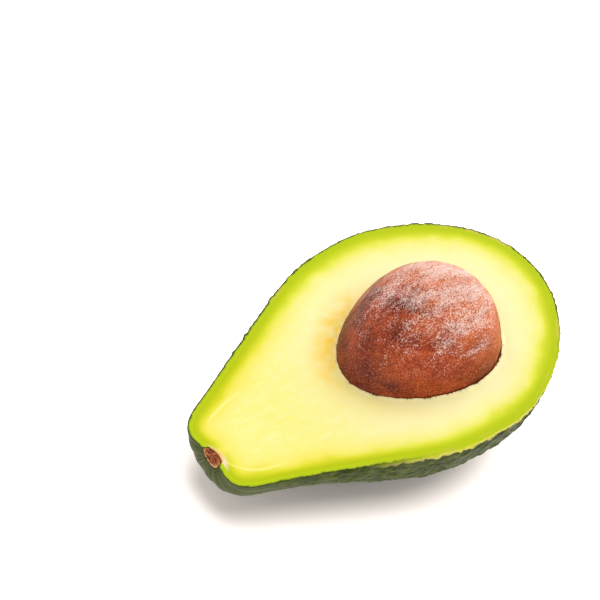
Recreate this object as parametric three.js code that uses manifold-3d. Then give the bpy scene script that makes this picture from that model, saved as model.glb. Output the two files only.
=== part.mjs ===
// Half a ripe avocado, cut lengthwise and lying on its back with the seed still in it.
// Four pieces: the pebbled skin, the flesh inside it, the seed in the flesh's hollow, and the
// half of the woody stem stub that the knife left at the neck. Millimetres, +Z up.
//
// The fruit is modelled on its own axis: X runs from the stem end (0) to the blossom end, the
// knife cut is the plane Z = 0, and the kept half lies below it. The last group lays it down.
import * as THREE from "three";
import { mergeVertices } from "three/addons/utils/BufferGeometryUtils.js";
import Module from "manifold-3d";

const wasm = await Module();
wasm.setup();

// Size of the fruit
const LENGTH = 100; // stem end to blossom end
const HALF_WIDTH = 32.3; // from the axis to the skin at the widest place
const WIDEST_AT = 64; // how far that place is from the stem end
const NECK_LEAN = -1.6; // sideways drift of the axis at the stem end
const BLOSSOM_LEAN = 1.8; // and at the blossom end

// Depth of the half under the cut, for each mm of half width: less along the flank
const BELLY_DEPTH_SHARE = 0.97;
const FLANK_HOLLOW = { share: 0.15, x: 18, reach: 14 };

// Outline of the cut, as three Bezier curves: end of the neck, flank, blossom end
const NECK_CORNER = { x: 5.5, r: 12.95 };
const NECK_SLOPE = THREE.MathUtils.degToRad(22); // the flank's direction where it leaves the neck
const NECK_END_HANDLE = 5;
const NECK_CORNER_HANDLE = 9.8;
const FLANK_HANDLE = 41;
const SHOULDER_HANDLE = 20.5;
const BELLY_HANDLE = 12;
const BLOSSOM_HANDLE = 20.7;

// Skin
const SKIN_THICKNESS = 1.3;
const PEBBLE_SPACING = 5;
const PEBBLE_RISE = 0.7;
const SMOOTH_NECK = [4, 22]; // pebbles fade in between these distances from the stem end
const PLEATS = 12; // shallow folds that gather at the stem, round the whole fruit
const PLEAT_RISE = 0.25;
const PLEATS_REACH = 13; // how far from the stem end the folds run

// Seed, an egg with its narrow end towards the neck
const SEED = {
  halfLength: 21.1,
  radius: 17.3,
  taper: 0.22, // share by which the blossom side is fuller, and the neck side slimmer
  height: 1.08, // up and down, for each mm of radius sideways
  x: 59.7,
  y: -1.6,
  z: -1.7,
};
const SEED_LOBES = { count: 3, rise: 0.25 }; // shallow swellings of its coat

// Stem stub: a short tapered plug with a raised lip round a dished end, and its place.
// Its profile is pairs of radius and depth, from the middle of the end to the inner tip.
const STUB_PROFILE = [
  [0, 0.45],
  [1.9, 0.4],
  [2.35, 0],
  [2.75, 0.1],
  [2.8, 0.6],
  [2.3, 1.35],
  [1.3, 1.8],
  [0, 1.95],
];
const STUB_X = -0.4;

// How the half lies, and the gap between pieces that touch
const PITCH = THREE.MathUtils.degToRad(-10); // the neck hangs lower than the belly
const FLAT_DEPTH = 0.4; // what the surface presses flat under the belly
const GAP = 0.3;

// Fineness of the surfaces
const SKIN_STEP = 1.7;
const INNER_STEP = 3.4;
const SEED_ROWS = 22;
const SEED_SEGMENTS = 32;
const STUB_SEGMENTS = 28;

const smooth = (from, to, at) => THREE.MathUtils.smoothstep(at, from, to);

// Outline

function fruitOutline() {
  const corner = new THREE.Vector2(NECK_CORNER.x, NECK_CORNER.r);
  const along = new THREE.Vector2(Math.cos(NECK_SLOPE), Math.sin(NECK_SLOPE));
  const before = corner.clone().addScaledVector(along, -NECK_CORNER_HANDLE);
  const after = corner.clone().addScaledVector(along, FLANK_HANDLE);
  const widest = new THREE.Vector2(WIDEST_AT, HALF_WIDTH);
  const outline = new THREE.CurvePath();
  outline.add(
    new THREE.CubicBezierCurve(
      new THREE.Vector2(0, 0),
      new THREE.Vector2(0, NECK_END_HANDLE),
      before,
      corner,
    ),
  );
  outline.add(
    new THREE.CubicBezierCurve(
      corner,
      after,
      new THREE.Vector2(WIDEST_AT - SHOULDER_HANDLE, HALF_WIDTH),
      widest,
    ),
  );
  outline.add(
    new THREE.CubicBezierCurve(
      widest,
      new THREE.Vector2(WIDEST_AT + BELLY_HANDLE, HALF_WIDTH),
      new THREE.Vector2(LENGTH, BLOSSOM_HANDLE),
      new THREE.Vector2(LENGTH, 0),
    ),
  );
  return outline;
}

// The axis drifts a little to one side towards both ends.
function leanAt(x) {
  const neck = THREE.MathUtils.clamp(1 - x / WIDEST_AT, 0, 1.1);
  const blossom = Math.max(0, (x - WIDEST_AT) / (LENGTH - WIDEST_AT));
  return NECK_LEAN * neck ** 2 + BLOSSOM_LEAN * blossom ** 2;
}

function depthShareAt(x) {
  const fromHollow = (x - FLANK_HOLLOW.x) / FLANK_HOLLOW.reach;
  return BELLY_DEPTH_SHARE - FLANK_HOLLOW.share * Math.exp(-(fromHollow ** 2));
}

// Relief of the skin

// A repeatable number from 0 to 1 for one cell of a lattice.
function cellNumber(i, j, k, salt) {
  const wave = Math.sin(i * 127.1 + j * 311.7 + k * 74.7 + salt * 53.3) * 43758.5453;
  return wave - Math.floor(wave);
}

// Rounded pebbles: 1 over the middle of a pebble, 0 in the furrows between them.
function pebbleAt(point) {
  const cell = point.clone().divideScalar(PEBBLE_SPACING);
  const [ci, cj, ck] = [cell.x, cell.y, cell.z].map(Math.floor);
  let nearest = Infinity;
  for (let i = ci - 1; i <= ci + 1; i++) {
    for (let j = cj - 1; j <= cj + 1; j++) {
      for (let k = ck - 1; k <= ck + 1; k++) {
        const dx = i + cellNumber(i, j, k, 1) - cell.x;
        const dy = j + cellNumber(i, j, k, 2) - cell.y;
        const dz = k + cellNumber(i, j, k, 3) - cell.z;
        nearest = Math.min(nearest, Math.hypot(dx, dy, dz));
      }
    }
  }
  return 1 - smooth(0.15, 0.75, nearest);
}

function skinRelief(point, angle) {
  const pebbles = PEBBLE_RISE * smooth(...SMOOTH_NECK, point.x) * pebbleAt(point);
  const pleatWindow = 1 - smooth(2, PLEATS_REACH, point.x);
  return pebbles + PLEAT_RISE * pleatWindow * Math.cos(PLEATS * angle);
}

// Solids

// A geometry whose shared vertices are merged, as a solid that can be cut and joined.
function solidOf(geometry) {
  const bare = geometry.clone();
  bare.deleteAttribute("normal");
  bare.deleteAttribute("uv");
  const merged = mergeVertices(bare, 1e-4);
  return new wasm.Manifold(
    new wasm.Mesh({
      numProp: 3,
      vertProperties: merged.attributes.position.array,
      triVerts: new Uint32Array(merged.index.array),
    }),
  );
}

function geometryOf(solid) {
  const mesh = solid.getMesh();
  const geometry = new THREE.BufferGeometry();
  geometry.setAttribute("position", new THREE.BufferAttribute(mesh.vertProperties, 3));
  geometry.setIndex(new THREE.BufferAttribute(mesh.triVerts, 1));
  geometry.computeVertexNormals();
  return geometry;
}

// Triangles between two rings of points that go round the same way, with any number in each.
function joinRings(ringA, ringB, triangles) {
  let a = 0;
  let b = 0;
  while (a < ringA.length || b < ringB.length) {
    const fromA = ringA[a % ringA.length];
    const fromB = ringB[b % ringB.length];
    const nextA = (a + 1) / ringA.length;
    const nextB = (b + 1) / ringB.length;
    if (b >= ringB.length || (a < ringA.length && nextA <= nextB)) {
      a += 1;
      if (ringA.length > 1) triangles.push(fromA, fromB, ringA[a % ringA.length]);
    } else {
      b += 1;
      if (ringB.length > 1) triangles.push(fromA, fromB, ringB[b % ringB.length]);
    }
  }
}

// The whole uncut fruit as a closed body, inset from the skin's smooth surface.
function fruitBody(inset, step, relief) {
  const outline = fruitOutline();
  const rowCount = Math.round(outline.getLength() / step);
  const points = [];
  const triangles = [];
  let previous = null;
  for (let row = 0; row <= rowCount; row++) {
    const t = row / rowCount;
    const atEnd = row === 0 || row === rowCount;
    const tangent = outline.getTangent(t);
    const out = new THREE.Vector2(-tangent.y, tangent.x);
    const place = outline.getPoint(t).addScaledVector(out, -inset);
    const radius = atEnd ? 0 : place.y;
    // An even count keeps a point of every ring on each side of the cut plane.
    const count = atEnd ? 1 : 2 * Math.max(3, Math.round((Math.PI * radius) / step));
    const ring = [];
    for (let i = 0; i < count; i++) {
      const angle = (2 * Math.PI * i) / count;
      const side = Math.cos(angle);
      const down = -depthShareAt(place.x) * Math.sin(angle);
      const point = new THREE.Vector3(
        place.x,
        radius * side + leanAt(place.x),
        radius * down,
      );
      const outward = new THREE.Vector3(out.x, out.y * side, out.y * down).normalize();
      ring.push(points.length);
      points.push(point.addScaledVector(outward, relief ? relief(point, angle) : 0));
    }
    if (previous) joinRings(previous, ring, triangles);
    previous = ring;
  }
  const geometry = new THREE.BufferGeometry().setFromPoints(points);
  geometry.setIndex(triangles);
  return solidOf(geometry);
}

// The seed's egg shape, grown outwards by a clearance for the hollow that holds it.
function seedBody(clearance) {
  const profile = [];
  for (let row = 0; row <= SEED_ROWS; row++) {
    const t = (Math.PI * row) / SEED_ROWS;
    const fullness = 1 - SEED.taper * Math.cos(t);
    const radius = (SEED.radius + clearance) * Math.sin(t) ** 0.95 * fullness;
    const x = -(SEED.halfLength + clearance) * Math.cos(t);
    profile.push(new THREE.Vector2(row % SEED_ROWS ? radius : 0, x));
  }
  const geometry = new THREE.LatheGeometry(profile, SEED_SEGMENTS);
  geometry.rotateZ(-Math.PI / 2);
  geometry.scale(1, 1, SEED.height);
  const position = geometry.attributes.position;
  const point = new THREE.Vector3();
  for (let i = 0; i < position.count; i++) {
    point.fromBufferAttribute(position, i);
    const angle = Math.atan2(point.z, point.y);
    const swelling = Math.cos(SEED_LOBES.count * angle + point.x / SEED.halfLength);
    const offAxis = Math.min(1, Math.hypot(point.y, point.z) / SEED.radius);
    point.setLength(point.length() + SEED_LOBES.rise * swelling * offAxis);
    position.setXYZ(i, point.x, point.y, point.z);
  }
  return solidOf(geometry.translate(SEED.x, SEED.y, SEED.z));
}

function stubBody(clearance) {
  const profile = STUB_PROFILE.map(([radius, depth], i) => {
    const outside = i < 4 ? -10 * clearance : clearance;
    const onAxis = i === 0 || i === STUB_PROFILE.length - 1;
    return new THREE.Vector2(onAxis ? 0 : radius + clearance, depth + outside);
  });
  const geometry = new THREE.LatheGeometry(profile, STUB_SEGMENTS);
  geometry.rotateZ(-Math.PI / 2);
  return solidOf(geometry.translate(STUB_X, leanAt(0), 0));
}

// A block that takes away everything on one side of a plane, the plane's normal pointing at it.
function blockBeyond(normal, distance) {
  const side = 3 * LENGTH;
  const geometry = new THREE.BoxGeometry(side, side, side);
  geometry.translate(0, 0, side / 2);
  geometry.applyQuaternion(
    new THREE.Quaternion().setFromUnitVectors(new THREE.Vector3(0, 0, 1), normal),
  );
  geometry.translate(...normal.clone().multiplyScalar(distance).toArray());
  return solidOf(geometry);
}

// How far the smooth body reaches down once the half lies at its pitch.
function deepestReach(down) {
  const reaches = fruitOutline()
    .getSpacedPoints(400)
    .map((p) => p.x * down.x - depthShareAt(p.x) * p.y * down.z);
  return Math.max(...reaches);
}

// Pieces

const down = new THREE.Vector3(0, 0, -1).applyAxisAngle(new THREE.Vector3(0, 1, 0), -PITCH);
const floorAt = deepestReach(down) - FLAT_DEPTH;
const aboveTheCut = blockBeyond(new THREE.Vector3(0, 0, 1), 0);
const underTheFloor = blockBeyond(down, floorAt);
const stubPocket = stubBody(GAP);

function makeSkin() {
  return fruitBody(0, SKIN_STEP, skinRelief)
    .subtract(fruitBody(SKIN_THICKNESS, INNER_STEP))
    .subtract(aboveTheCut)
    .subtract(underTheFloor)
    .subtract(stubPocket);
}

function makeFlesh() {
  return fruitBody(SKIN_THICKNESS + GAP, INNER_STEP)
    .subtract(aboveTheCut)
    .subtract(seedBody(GAP))
    .subtract(stubPocket);
}

function makeStemStub() {
  return stubBody(0).subtract(aboveTheCut);
}

const PIECES = [
  ["skin", makeSkin(), { color: 0x3a4f22, roughness: 0.42 }],
  ["flesh", makeFlesh(), { color: 0xf1ec9a, roughness: 0.5 }],
  ["seed", seedBody(0), { color: 0x87452f, roughness: 0.48 }],
  ["stem_stub", makeStemStub(), { color: 0x5c3522, roughness: 0.85 }],
];

const half = new THREE.Group();
for (const [name, solid, look] of PIECES) {
  const material = new THREE.MeshStandardMaterial({ ...look, metalness: 0 });
  const mesh = new THREE.Mesh(geometryOf(solid), material);
  mesh.name = name;
  half.add(mesh);
}
half.rotation.y = PITCH;

// The frame's origin is on the surface, under the middle of the half.
const avocado = new THREE.Group();
avocado.add(half);
half.updateMatrixWorld(true);
const box = new THREE.Box3().setFromObject(half, true);
const middle = box.getCenter(new THREE.Vector3());
half.position.set(-middle.x, -middle.y, floorAt);

export default avocado;
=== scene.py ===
import math

import bmesh
import bpy
import numpy as np
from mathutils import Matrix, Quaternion, Vector


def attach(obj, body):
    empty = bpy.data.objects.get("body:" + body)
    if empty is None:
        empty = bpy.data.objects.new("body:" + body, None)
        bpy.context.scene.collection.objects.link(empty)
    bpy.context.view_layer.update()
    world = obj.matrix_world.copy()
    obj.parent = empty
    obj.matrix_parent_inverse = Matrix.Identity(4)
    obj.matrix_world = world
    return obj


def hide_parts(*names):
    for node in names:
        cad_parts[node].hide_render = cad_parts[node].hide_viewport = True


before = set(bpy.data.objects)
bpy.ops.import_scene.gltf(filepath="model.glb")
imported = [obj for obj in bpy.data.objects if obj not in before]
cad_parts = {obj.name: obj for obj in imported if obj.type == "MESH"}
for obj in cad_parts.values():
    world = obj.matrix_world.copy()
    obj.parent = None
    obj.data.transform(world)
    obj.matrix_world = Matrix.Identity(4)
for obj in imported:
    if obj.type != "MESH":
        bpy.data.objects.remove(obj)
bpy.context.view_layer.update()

# The view: a white table under soft light from above and behind, and the camera that looks down on
# the cut face from beside the neck, turned so that the neck points to the lower left.
MM = 0.001
CAMERA_AT = Vector((-258.8, -169.4, 325.2)) * MM
CAMERA_AIM = Vector((-2.9, 25.3, 25.0)) * MM
CAMERA_TURN = math.radians(19.75)
CAMERA_LENS = 109.1
CAMERA_NEAREST = 0.01
TABLE_SIDE = 4.0
TABLE_AT = -0.03 * MM
PAPER_WHITE = "#fcf3ee"
ROOM_WHITE = "#ffffff"
ROOM_LIGHT = 1.0
KEY_LIGHT = 1.8
KEY_SPREAD = math.radians(55)
KEY_FROM = (1.0, 0.15, 1.05)
TABLE_LIGHT = 4.4
TABLE_SPREAD = math.radians(42)
TABLE_LIGHT_FROM = (-0.06, -0.1, 1.0)


def linear(hex_colour):
    """An sRGB colour such as "#8a4030" as the linear values that Blender's sockets hold."""
    parts = [int(hex_colour[i : i + 2], 16) / 255 for i in (1, 3, 5)]
    return [p / 12.92 if p <= 0.04045 else ((p + 0.055) / 1.055) ** 2.4 for p in parts] + [1.0]


def add(tree, kind, inputs=None, out=0, stops=(), **settings):
    """Adds a node with its settings and returns one of its outputs. Each of its inputs is given a
    value or linked to an output, and a colour ramp gets its stops, pairs of a place and a colour."""
    node = tree.nodes.new(kind)
    for name, value in settings.items():
        setattr(node, name, value)
    for name, value in (inputs or {}).items():
        socket = node.inputs[name]
        if isinstance(value, bpy.types.NodeSocket):
            tree.links.new(value, socket)
        else:
            socket.default_value = value
    for number, (place, colour) in enumerate(stops):
        ramp = node.color_ramp.elements
        if number == 0:
            ramp.remove(ramp[1])
            ramp[0].position = place
            ramp[0].color = linear(colour)
        else:
            ramp.new(place).color = linear(colour)
    return node.outputs[out] if node.outputs else None


def new_material(name):
    """A material with an empty tree, and that tree."""
    material = bpy.data.materials.new(name)
    material.use_nodes = True
    material.node_tree.nodes.clear()
    return material, material.node_tree


def finish_material(tree, look, grain=None, strength=0.0, depth=0.0):
    """The tree's last nodes: the shader with its inputs, the output, and where there is a grain its
    bumps, of a depth in millimetres."""
    if grain:
        bumps = {"Strength": strength, "Distance": depth * MM, "Height": grain}
        look = {**look, "Normal": add(tree, "ShaderNodeBump", bumps)}
    add(tree, "ShaderNodeOutputMaterial", {"Surface": add(tree, "ShaderNodeBsdfPrincipled", look)})


def add_object(name, data):
    """An object for a mesh, a light or a camera, in the scene."""
    made = bpy.data.objects.new(name, data)
    bpy.context.scene.collection.objects.link(made)
    return made


def add_sun(name, strength, spread, source, table_state):
    """A wide, even light from a direction. The table's state says whether the light falls on the
    table only, "INCLUDE", or on all but the table, "EXCLUDE"."""
    light = bpy.data.lights.new(name, "SUN")
    light.energy = strength
    light.angle = spread
    sun = add_object(name, light)
    sun.rotation_euler = Vector(source).to_track_quat("Z", "Y").to_euler()
    linked = bpy.data.collections.new(name + "_table")
    linked.objects.link(table)
    sun.light_linking.receiver_collection = linked
    linked.collection_objects[0].light_linking.link_state = table_state


camera = add_object("camera", bpy.data.cameras.new("camera"))
camera.data.lens = CAMERA_LENS
camera.data.clip_start = CAMERA_NEAREST
camera.location = CAMERA_AT
facing = (CAMERA_AIM - CAMERA_AT).to_track_quat("-Z", "Y")
camera.rotation_euler = (facing @ Quaternion((0, 0, 1), CAMERA_TURN)).to_euler()
bpy.context.scene.camera = camera
bpy.context.scene.view_settings.view_transform = "Standard"

table_mesh = bpy.data.meshes.new("table")
corners = [(x * TABLE_SIDE / 2, y * TABLE_SIDE / 2) for x, y in ((-1, -1), (1, -1), (1, 1), (-1, 1))]
table_mesh.from_pydata([(x, y, TABLE_AT) for x, y in corners], [], [(0, 1, 2, 3)])
table = add_object("table", table_mesh)
# Uncoated white card: it has almost no shine.
paper, tree = new_material("white_studio_card")
finish_material(tree, {"Base Color": linear(PAPER_WHITE), "Roughness": 0.9, "Specular IOR Level": 0.1})
table_mesh.materials.append(paper)

world = bpy.data.worlds.new("studio")
bpy.context.scene.world = world
world.use_nodes = True
world.node_tree.nodes.clear()
sky = add(world.node_tree, "ShaderNodeBackground", {"Color": linear(ROOM_WHITE), "Strength": ROOM_LIGHT})
add(world.node_tree, "ShaderNodeOutputWorld", {"Surface": sky})
add_sun("large_softbox", KEY_LIGHT, KEY_SPREAD, KEY_FROM, "EXCLUDE")
# A second light, from nearly straight above, washes the table out to white.
add_sun("table_wash", TABLE_LIGHT, TABLE_SPREAD, TABLE_LIGHT_FROM, "INCLUDE")

# Stem stub: the woody button by which the fruit hung, cut lengthwise by the knife with the rest. It
# sits in a pocket of its own at the neck's end: dark, rough and corky, with a paler raised lip.
# Sizes are in millimetres on the fruit's own axis: x from the stem end, z = 0 on the cut.
PITCH = math.radians(10)
STEM_END = np.array((-49.21, 0.13, 20.66))
# Radius and depth from the middle of the outer end, over the lip and round to the inner end
STUB_PROFILE = np.array(
    ((0, 0.45), (1.9, 0.4), (2.35, 0), (2.75, 0.1), (2.8, 0.6), (2.3, 1.35), (1.3, 1.8), (0, 1.95))
)
STUB_LIP = 3  # the profile's first point inside the pocket
STUB_AT = np.array((-0.4, -1.6, 0.0))
STUB_ROWS = 60
STUB_COLUMNS = 72
STUB_CELL = 0.07
KNIFE_BLOCK = np.array((5.0, 6.0, 3.0))  # half its length, width and height
BARK_LUMP = 0.7
stub_sizes = {"Bark rise": 0.2}
POCKET_RADIUS = 2.8
POCKET_GAP = 0.06
POCKET_MOUTH = -3.0
POCKET_COLUMNS = 64
MERGE_WITHIN = 0.002
SHARP_FROM = math.radians(40)
LIP_FROM, LIP_FULL = 0.42, 0.12

BARK_BROWNS = ((0.36, "#341709"), (0.47, "#6a3014"), (0.57, "#96542a"), (0.7, "#ba7c4c"))
LIP_TAN = "#b08658"

# For a node that mixes two colours
COLOURS = {"data_type": "RGBA", "out": 2}


def in_frame(points):
    """Points in millimetres on the fruit's own axis, as metres in the frame."""
    c, s = math.cos(PITCH), math.sin(PITCH)
    lie = np.array(((c, 0, -s), (0, 1, 0), (s, 0, c)))
    return (np.asarray(points) @ lie.T + STEM_END) * MM


def loft(name, points, attributes):
    """A closed body through rows of points, each row a closed ring, whose ends shrink to a point
    or a line. Each attribute holds a number or a vector for every point."""
    rows, columns = points.shape[:2]
    mesh = bpy.data.meshes.new(name)
    number = np.arange(rows * columns).reshape(rows, columns)
    here, after = number[:-1], np.roll(number[:-1], -1, axis=1)
    below, below_after = number[1:], np.roll(number[1:], -1, axis=1)
    faces = np.stack((here, after, below_after, below), axis=-1).reshape(-1, 4)
    mesh.from_pydata(in_frame(points.reshape(-1, 3)), [], faces)
    for key, values in attributes.items():
        vector = values.ndim == 3
        layer = mesh.attributes.new(key, "FLOAT_VECTOR" if vector else "FLOAT", "POINT")
        layer.data.foreach_set("vector" if vector else "value", values.astype(np.float32).ravel())
    body = bmesh.new()
    body.from_mesh(mesh)
    bmesh.ops.remove_doubles(body, verts=body.verts, dist=MERGE_WITHIN * MM)
    bmesh.ops.recalc_face_normals(body, faces=body.faces)
    if body.calc_volume(signed=True) < 0:
        bmesh.ops.reverse_faces(body, faces=body.faces)
    body.to_mesh(mesh)
    body.free()
    return add_object(name, mesh)


def new_shape_tree(name, sizes):
    """A Geometry Nodes tree with a geometry input and output and a named input for each size."""
    tree = bpy.data.node_groups.new(name, "GeometryNodeTree")
    tree.interface.new_socket("Geometry", in_out="INPUT", socket_type="NodeSocketGeometry")
    for size, value in sizes.items():
        kind = "NodeSocketObject" if isinstance(value, bpy.types.Object) else "NodeSocketFloat"
        tree.interface.new_socket(size, in_out="INPUT", socket_type=kind)
    tree.interface.new_socket("Geometry", in_out="OUTPUT", socket_type="NodeSocketGeometry")
    return tree, add(tree, "NodeGroupInput").node.outputs


def place_in_mm(tree):
    """Each point's place in the frame, in millimetres."""
    place = add(tree, "GeometryNodeInputPosition")
    return add(tree, "ShaderNodeVectorMath", {0: place, "Scale": 1 / MM}, operation="SCALE")


def keep(tree, geometry, name, value, kind="FLOAT"):
    """Keeps a value of every point on the mesh, for the material."""
    kept = {"Geometry": geometry, "Name": name, "Value": value}
    return add(tree, "GeometryNodeStoreNamedAttribute", kept, data_type=kind)


def kept_values(tree, *names):
    """Values that the mesh keeps for every point, in a shape's tree or a material's."""
    if tree.type == "GEOMETRY":
        kind = "GeometryNodeInputNamedAttribute"
        return [add(tree, kind, {"Name": name}, data_type="FLOAT") for name in names]
    return [add(tree, "ShaderNodeAttribute", out="Fac", attribute_name=name) for name in names]


def lift_surface(tree, geometry, direction, height):
    """Moves the surface along a direction by a height in millimetres."""
    step = add(tree, "ShaderNodeMath", {0: height, 1: MM}, operation="MULTIPLY")
    offset = add(tree, "ShaderNodeVectorMath", {0: direction, "Scale": step}, operation="SCALE")
    return add(tree, "GeometryNodeSetPosition", {"Geometry": geometry, "Offset": offset})


def finish_shape(tree, geometry, material):
    """The tree's last nodes: plain geometry in one material."""
    real = add(tree, "GeometryNodeRealizeInstances", {"Geometry": geometry})
    painted = add(tree, "GeometryNodeSetMaterial", {"Geometry": real, "Material": material})
    add(tree, "NodeGroupOutput", {0: painted})


def shape(piece, tree, sizes, cut_by=None):
    """Runs the tree on the piece with its sizes, cuts away another body's room, and makes the
    result the piece's own mesh, without modifiers."""
    modifier = piece.modifiers.new(tree.name, "NODES")
    modifier.node_group = tree
    for socket in tree.interface.items_tree:
        if socket.in_out == "INPUT" and socket.name in sizes:
            modifier[socket.identifier] = sizes[socket.name]
    if cut_by:
        cut_away(piece, cut_by)
    graph = bpy.context.evaluated_depsgraph_get()
    mesh = bpy.data.meshes.new_from_object(piece.evaluated_get(graph))
    piece.modifiers.clear()
    piece.data = mesh
    mesh.shade_smooth()
    mesh.set_sharp_from_angle(angle=SHARP_FROM)


def cut_away(piece, other):
    """Cuts another body's room out of the piece."""
    cut = piece.modifiers.new("cut", "BOOLEAN")
    cut.object = other
    cut.solver = "EXACT"


def evenly(line, count):
    """Points at even distances along a line of points."""
    walked = np.concatenate(((0,), np.cumsum(np.hypot(*np.diff(line, axis=0).T))))
    at = np.linspace(0, walked[-1], count)
    return np.stack([np.interp(at, walked, line[:, i]) for i in (0, 1)], axis=1)


def turned(profile, columns):
    """Rings of points round the stub's axis, one for each radius and depth."""
    radius, depth = profile[:, :1], profile[:, 1:]
    angle = np.linspace(0, 2 * math.pi, columns, endpoint=False)
    rings = (depth + 0 * angle, radius * np.cos(angle), radius * np.sin(angle))
    return np.stack(rings, axis=-1) + STUB_AT


def knife_block_body():
    """The room above the cut, which takes the stub's upper half."""
    size = np.array((0, 1, 1, 0))[:, None]
    reach = np.array((-1, -1, 1, 1))[:, None] + 0 * size.T
    side = np.array((-1, 1, 1, -1)) * size
    top = 1 + np.array((-1, -1, 1, 1)) * size
    return loft("knife_block", np.stack((reach, side, top), axis=-1) * KNIFE_BLOCK + STUB_AT, {})


def stub_pocket():
    """The room that the stub takes in the skin and the flesh, open towards the outside."""
    radius, depth = STUB_PROFILE[STUB_LIP:].T
    radius = np.concatenate(((0, POCKET_RADIUS), radius[1:-1] + POCKET_GAP, (0,)))
    depth = np.concatenate(((POCKET_MOUTH, POCKET_MOUTH), depth[1:] + POCKET_GAP))
    return loft("stub_pocket", turned(np.stack((radius, depth), axis=1), POCKET_COLUMNS), {})


def stub_shape_tree(sizes, material):
    """Corky lumps and pits all over the stub."""
    tree, given = new_shape_tree("corky_stub", sizes)
    bark = {"Vector": place_in_mm(tree), "Scale": 1 / BARK_LUMP, "Detail": 5.0}
    lumps = add(tree, "ShaderNodeTexNoise", bark)
    lump = add(tree, "ShaderNodeMapRange", {"Value": lumps, 1: 0.3, 2: 0.7, 3: -1.0, 4: 0.3})
    height = add(tree, "ShaderNodeMath", {0: lump, 1: given["Bark rise"]}, operation="MULTIPLY")
    kept = keep(tree, given["Geometry"], "lump", lumps)
    finish_shape(tree, lift_surface(tree, kept, add(tree, "GeometryNodeInputNormal"), height), material)
    return tree


def cover(tree, under, colour, value, start, full, most=1.0, **settings):
    """Lays a colour over another as a value runs from start to full, up to a share of most."""
    share = add(tree, "ShaderNodeMapRange", {"Value": value, 1: start, 2: full, 4: most}, **settings)
    return add(tree, "ShaderNodeMix", {0: share, 6: under, 7: linear(colour)}, **COLOURS)


def stub_material():
    """Dry, corky wood, nearly black in its pits and lighter on its lumps, tan on the lip, with no shine."""
    material, tree = new_material("corky_stem_wood")
    place = add(tree, "ShaderNodeTexCoord", out="Object")
    (lump,) = kept_values(tree, "lump")
    wood = add(tree, "ShaderNodeValToRGB", {0: lump}, stops=BARK_BROWNS)
    # Depth from the outer end, on the fruit's own axis
    own_axis = {"Location": in_frame(STUB_AT), "Rotation": (0.0, -PITCH, 0.0), "Scale": (MM,) * 3}
    local = add(tree, "ShaderNodeMapping", {"Vector": place, **own_axis}, vector_type="TEXTURE")
    depth = add(tree, "ShaderNodeSeparateXYZ", {0: local})
    tan = cover(tree, wood, LIP_TAN, depth, LIP_FROM, LIP_FULL, 0.85)
    fine = add(tree, "ShaderNodeTexNoise", {"Vector": place, "Scale": 1 / (0.25 * MM), "Detail": 3.0})
    corky = {"Base Color": tan, "Roughness": 0.85, "IOR": 1.5, "Specular IOR Level": 0.2}
    finish_material(tree, corky, fine, strength=0.5, depth=0.06)
    return material


stub = loft("woody_stub", turned(evenly(STUB_PROFILE, STUB_ROWS), STUB_COLUMNS), {})
knife_block = knife_block_body()
cut_away(stub, knife_block)
even = stub.modifiers.new("even", "REMESH")
even.mode = "VOXEL"
even.voxel_size = STUB_CELL * MM
shape(stub, stub_shape_tree(stub_sizes, stub_material()), stub_sizes)
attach(stub, "root")
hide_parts("stem_stub")
bpy.data.objects.remove(knife_block)
pocket = stub_pocket()

# Skin: the leathery peel of the fruit, about 1.3 mm thick, grown round the back of the half. The
# knife leaves its edge bare: dark outside, lime green within.
LENGTH = 100.0
HALF_WIDTH = 32.3
WIDEST_AT = 64.0
NECK_LEAN, NECK_LEAN_LIMIT = -1.6, 1.1
BLOSSOM_LEAN = 1.8
BELLY_DEPTH_SHARE = 0.97
FLANK_HOLLOW_SHARE, FLANK_HOLLOW_AT, FLANK_HOLLOW_REACH = 0.15, 18.0, 14.0
NECK_CORNER = np.array((5.5, 12.95))
NECK_SLOPE = math.radians(22)
NECK_END_HANDLE = 5.0
NECK_CORNER_HANDLE = 9.8
FLANK_HANDLE = 41.0
SHOULDER_HANDLE = 20.5
BELLY_HANDLE = 12.0
BLOSSOM_HANDLE = 20.7
SKIN_THICKNESS = 1.3
SKIN_ROWS = 290
SKIN_COLUMNS = 230
INNER_COLUMNS = 30
SKIN_EDGE_STEPS = (0.06, 0.25, 0.5, 0.75)  # shares of the thickness
BEZIER_STEPS = 400

SMOOTH_NECK = (6.0, 26.0)
# The pebbles of the real skin are 1 to 2 mm across. At 2 mm they still show in the render.
skin_sizes = {
    "Pebble spacing": 2.0,
    "Pebble rise": 0.42,
    "Swell spacing": 6.5,
    "Swell rise": 0.3,
    "Neck start": SMOOTH_NECK[0],
    "Neck end": SMOOTH_NECK[1],
    "Pleats": 12.0,
    "Pleat rise": 0.1,
    "Pleats start": 2.0,
    "Pleats reach": 11.0,
    "Creases": 46.0,
    "Crease rise": 0.05,
}
PEBBLE_RANDOMNESS = 0.85
PEBBLE_STRETCH = (0.72, 1.0, 1.0)  # pebbles are a little longer along the fruit
# A slow warp keeps the pebbles out of rows and rounds, and a finer one bends their borders: the
# scale of each, its detail and its push.
PEBBLE_WARPS = ((0.22, 1.0, 1.6), (0.75, 3.0, 1.5))
CREASE_DRAWN_OUT = 0.12  # they run along the neck
# The flat spot: nothing lies lower than the table.
SUNK_AT_MOST = (-9.0, -9.0, 0.0)
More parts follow.
